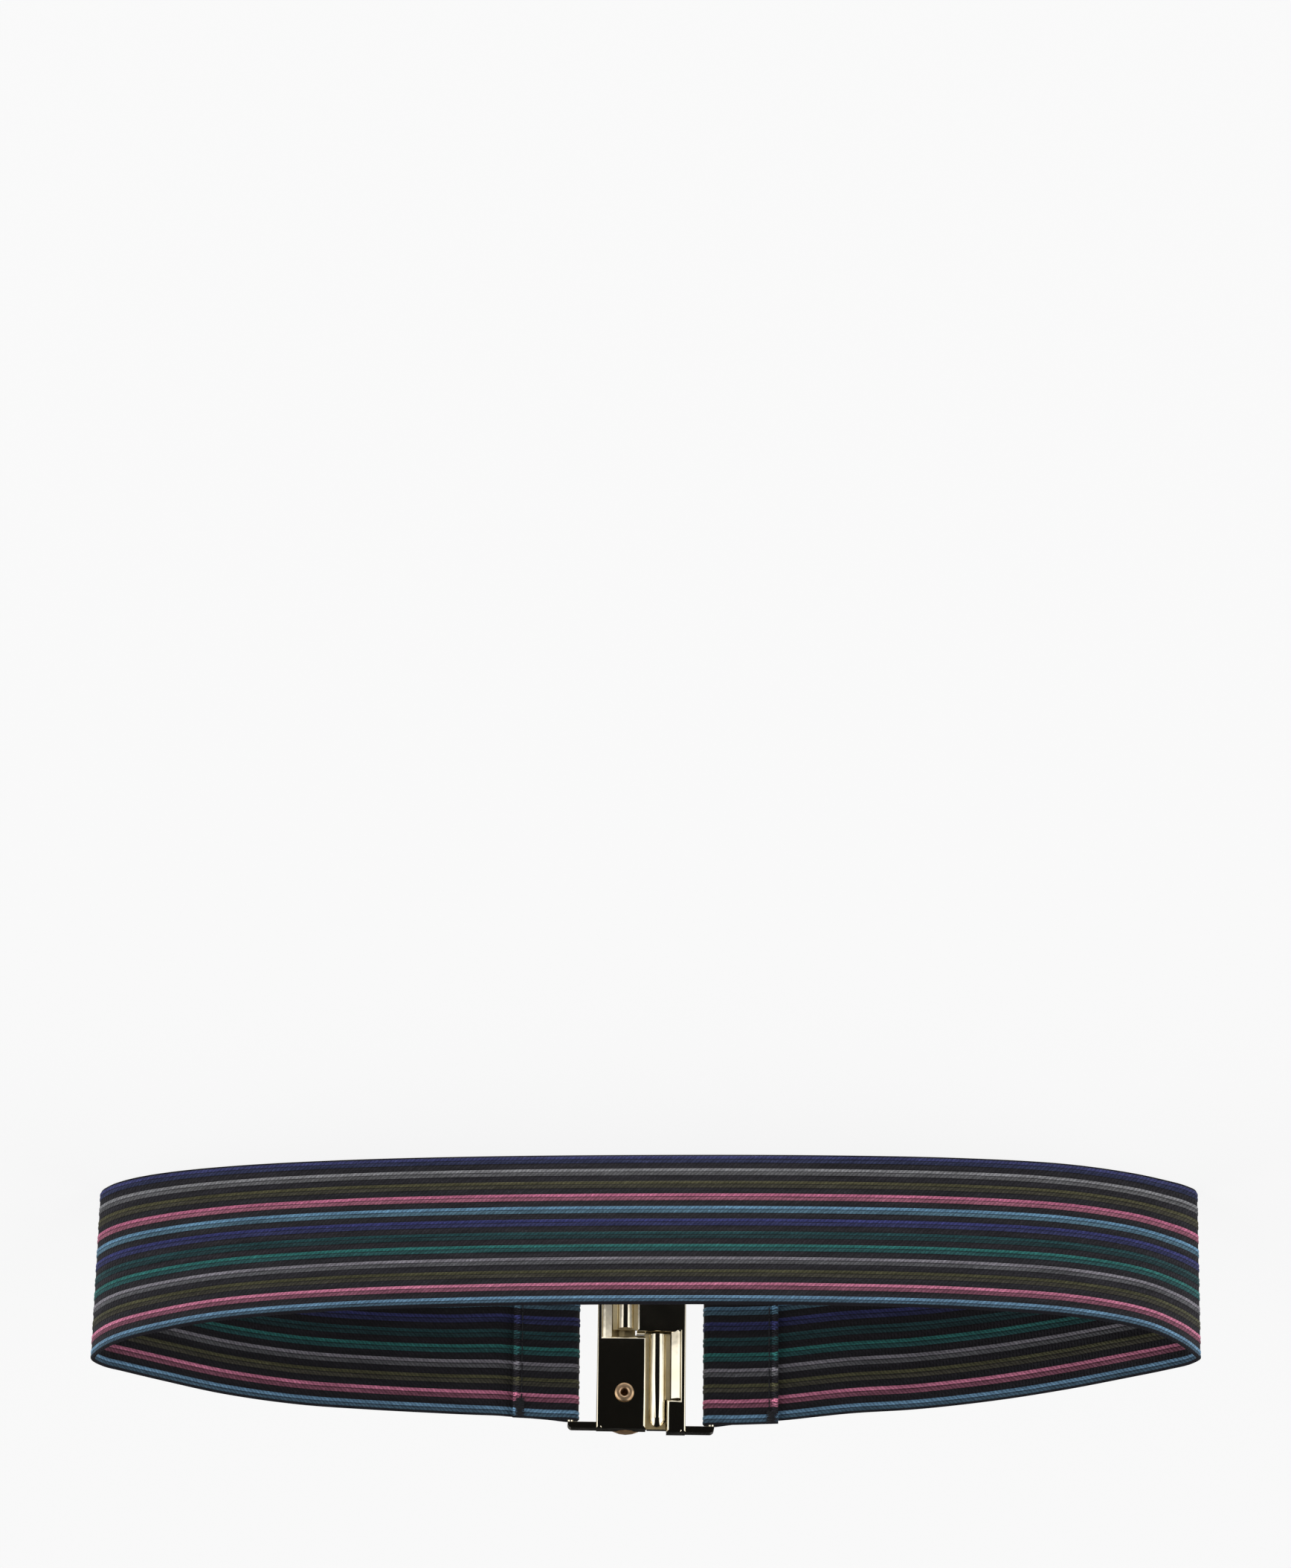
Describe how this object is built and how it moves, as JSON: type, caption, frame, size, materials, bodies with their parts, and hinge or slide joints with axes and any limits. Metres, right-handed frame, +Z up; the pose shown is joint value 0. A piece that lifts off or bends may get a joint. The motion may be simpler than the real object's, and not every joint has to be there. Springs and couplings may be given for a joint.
{
  "type": "elastic belt",
  "caption": "Wide elastic belt of striped webbing, its ends folded round the slotted halves of an interlocking metal clasp.",
  "frame": {"origin": "middle of the footprint, on the surface that the belt stands on", "axes": "+X along the loop's long way, to the right in the picture; +Z up, across the webbing's width; the clasp is at -Y and its front looks towards -Y"},
  "size_m": [0.2948, 0.0712, 0.0546],
  "materials": {
    "webbing": "ribbed matte webbing, polyester woven over rubber threads, dark with lengthwise stripes",
    "clasp_plate": "polished pale gold plate on a zinc casting",
    "boss": "polished brown brass"
  },
  "bodies": {
    "root": {"elastic_band": "webbing", "clasp_half_left": "clasp_plate", "clasp_half_right": "clasp_plate", "front_boss": "boss"}
  },
  "joints": []
}
